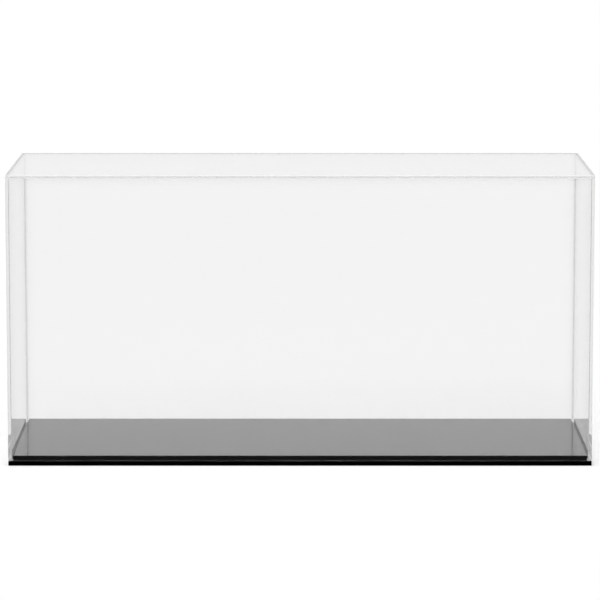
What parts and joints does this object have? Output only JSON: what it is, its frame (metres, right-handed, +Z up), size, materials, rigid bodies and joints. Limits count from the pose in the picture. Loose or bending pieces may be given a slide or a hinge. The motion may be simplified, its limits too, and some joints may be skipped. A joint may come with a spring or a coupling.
{
  "type": "display case",
  "caption": "Clear acrylic display case: a lift-off box cover stands on the rim of a black gloss base with a raised floor.",
  "frame": {"origin": "middle of the underside of the base plate", "axes": "+X to the right along the long side, the front faces -Y, +Z up"},
  "size_m": [0.4, 0.15, 0.2],
  "materials": {
    "clear_acrylic": "clear cast acrylic, polished",
    "black_acrylic": "high gloss, opaque",
    "bond_film": "double-sided film"
  },
  "bodies": {
    "base": {"base_plate": "black_acrylic", "raised_plate": "black_acrylic", "bond_film_front": "bond_film", "bond_film_back": "bond_film", "bond_film_left": "bond_film", "bond_film_right": "bond_film"},
    "cover": {"front_panel": "clear_acrylic", "back_panel": "clear_acrylic", "left_panel": "clear_acrylic", "right_panel": "clear_acrylic", "top_panel": "clear_acrylic"}
  },
  "joints": [
    {"name": "cover_lift", "type": "slide", "parent": "base", "child": "cover", "axis": [0, 0, 1], "range_m": [0, 0.21]}
  ]
}
